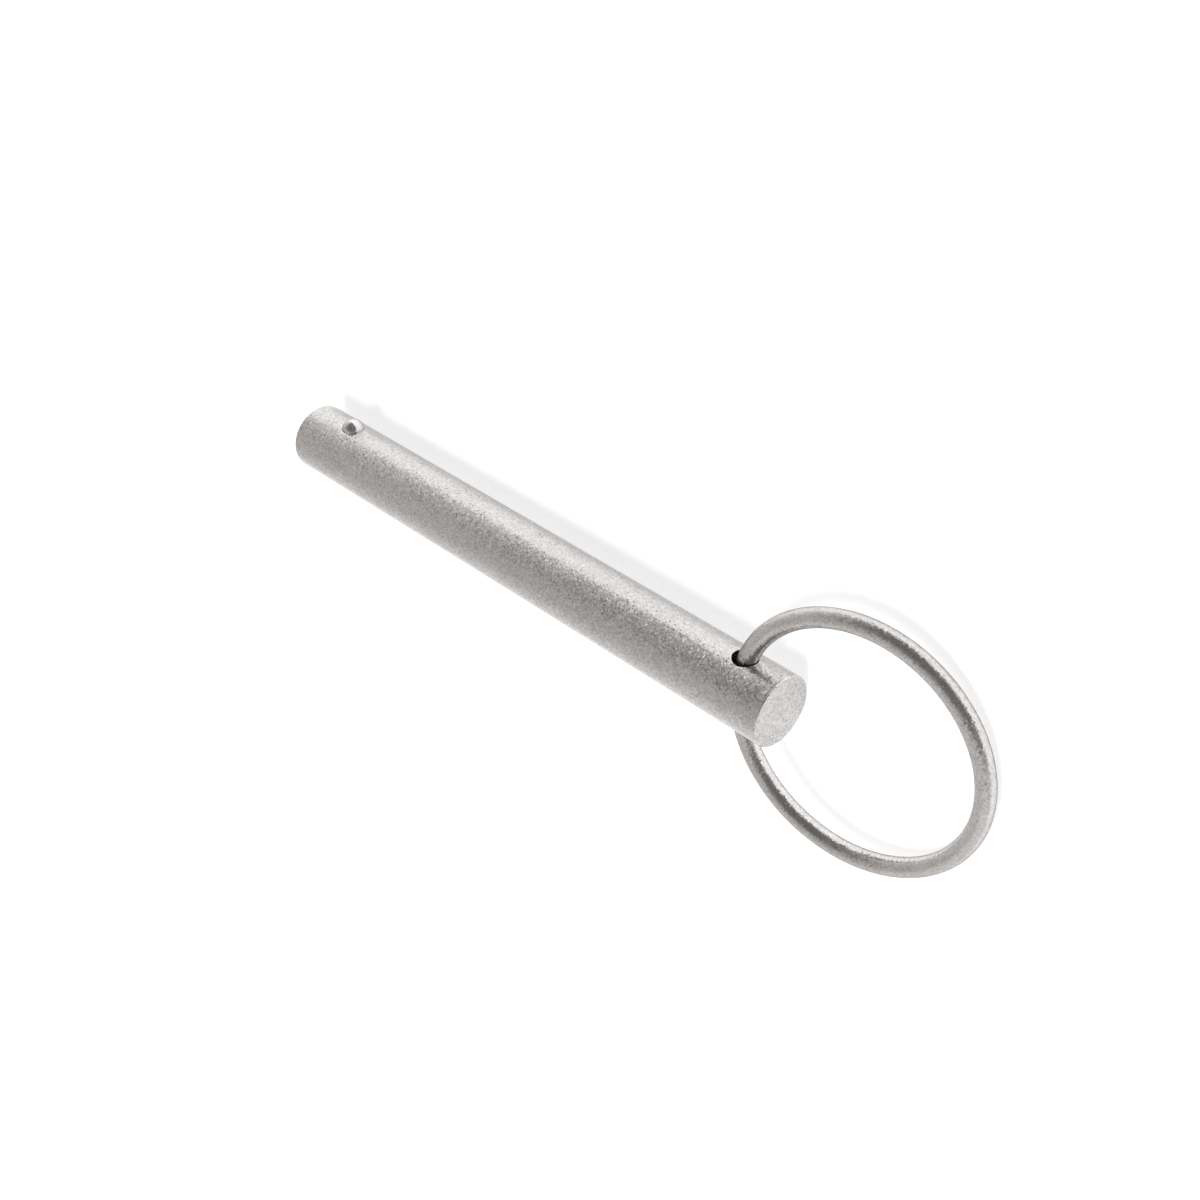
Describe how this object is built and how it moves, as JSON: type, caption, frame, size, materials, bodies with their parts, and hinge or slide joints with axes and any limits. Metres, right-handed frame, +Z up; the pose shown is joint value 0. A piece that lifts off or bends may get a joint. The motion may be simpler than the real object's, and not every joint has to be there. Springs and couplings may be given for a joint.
{
  "type": "quick release pin",
  "caption": "Round metal locking pin with a loose pull ring through its head end and a sprung detent ball near the tip that keeps it in aligned holes.",
  "frame": {"origin": "on the shank's axis, midway between the ring hole's axis and the detent ball's axis", "axes": "+X along the shank's axis towards the tip, which goes into the holes first; the ring hole lies along Y, the detent ball stands out towards -Y, and +Z is up as the pin lies on a level surface"},
  "size_m": [0.1169, 0.0354, 0.0096],
  "materials": {
    "shank_steel": "satin blasted stainless steel",
    "ring_steel": "satin drawn stainless wire, a little brighter than the shank",
    "ball_steel": "polished stainless steel",
    "spring_steel": "drawn stainless spring wire"
  },
  "bodies": {
    "shank": {"shank": "shank_steel", "detent_spring": "spring_steel"},
    "ball": {"detent_ball": "ball_steel"},
    "ring": {"pull_ring": "ring_steel"}
  },
  "joints": [
    {"name": "detent_press", "type": "slide", "parent": "shank", "child": "ball", "axis": [0, 1, 0], "range_m": [0, 0.0013], "stiffness_N_per_m": 2630, "springref_m": -0.0011, "deforming": ["detent_spring"]},
    {"name": "ring_swing", "type": "hinge", "parent": "shank", "child": "ring", "pos_m": [-0.0375, 0, 0], "axis": [0, 1, 0], "range_deg": [-162.8, 175.2]}
  ]
}
